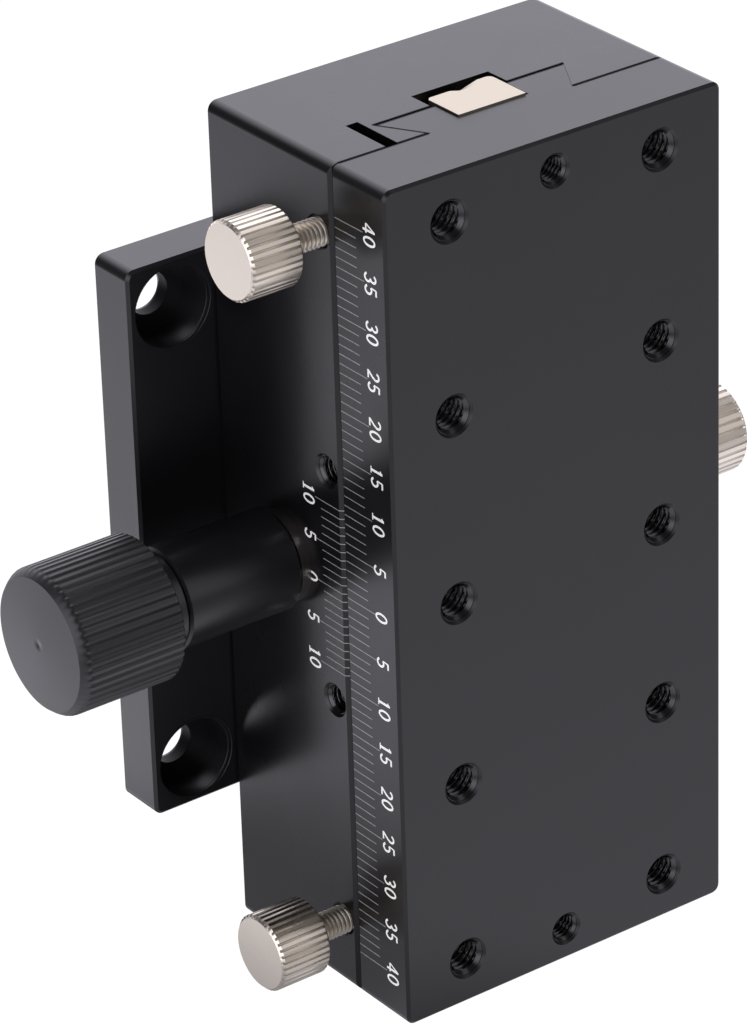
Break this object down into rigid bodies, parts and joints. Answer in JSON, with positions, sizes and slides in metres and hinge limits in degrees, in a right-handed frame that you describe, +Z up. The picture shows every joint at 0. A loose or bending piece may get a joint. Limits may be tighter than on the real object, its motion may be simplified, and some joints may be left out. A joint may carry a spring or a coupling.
{
  "type": "manual linear stage",
  "caption": "Manual dovetail stage with a helical rack-and-pinion drive, a knurled knob, clamping thumbscrews, graduated edges and a bolt-down back plate.",
  "frame": {"origin": "centre of the mounting plate's back face", "axes": "+X to the right seen from the front, +Y out of the mounting plate's back, towards what it is bolted to, +Z up along the travel"},
  "size_m": [0.0785, 0.0337, 0.0902],
  "materials": {
    "anodised_table": "matte black anodised",
    "anodised_base": "matte black anodised",
    "anodised_plate": "matte black anodised",
    "anodised_knob": "satin black anodised, knurled",
    "anodised_sleeve": "turned, satin black",
    "bearing_brass": "turned",
    "anodised_collar": "turned, satin black",
    "washer_plastic": "moulded",
    "rack_steel": "milled",
    "shaft_steel": "ground",
    "screw_nickel": "nickel plated, knurled",
    "screw_black": "blackened"
  },
  "bodies": {
    "base": {"base_body": "anodised_base", "mounting_plate": "anodised_plate", "plate_screws": "screw_black", "drive_bush": "bearing_brass", "drive_sleeve": "anodised_sleeve", "shaft_end_bush": "bearing_brass", "bush_set_screw": "screw_black", "jaw_set_screws": "screw_black", "lock_plug": "bearing_brass"},
    "table": {"slide_table": "anodised_table", "helical_rack": "rack_steel", "rack_screws": "shaft_steel"},
    "drive": {"pinion_shaft": "shaft_steel", "thrust_collar": "anodised_collar", "drag_washer": "washer_plastic", "drive_knob": "anodised_knob", "knob_set_screw": "screw_black"},
    "upper_clamp": {"upper_clamp_screw": "screw_nickel"},
    "lower_clamp": {"lower_clamp_screw": "screw_nickel"},
    "lock": {"lock_screw": "screw_nickel"}
  },
  "joints": [
    {"name": "table_travel", "type": "slide", "parent": "base", "child": "table", "axis": [0, 0, 1], "range_m": [-0.04, 0.04]},
    {"name": "knob_turn", "type": "hinge", "parent": "base", "child": "drive", "pos_m": [-0.0425, -0.01533, 0.00035], "axis": [-1, 0, 0], "range_deg": [-600, 600]},
    {"name": "upper_clamp_turn", "type": "hinge", "parent": "base", "child": "upper_clamp", "pos_m": [-0.027, -0.0232, 0.0375], "axis": [1, 0, 0], "range_deg": [-360, 60]},
    {"name": "lower_clamp_turn", "type": "hinge", "parent": "base", "child": "lower_clamp", "pos_m": [-0.027, -0.0232, -0.0375], "axis": [1, 0, 0], "range_deg": [-360, 60]},
    {"name": "lock_turn", "type": "hinge", "parent": "base", "child": "lock", "pos_m": [0.0255, -0.0232, 0.0018], "axis": [-1, 0, 0], "range_deg": [-360, 60]}
  ],
  "couplings": [
    {"joint": "knob_turn", "follows": "table_travel", "rad_per_m": 257.58}
  ]
}
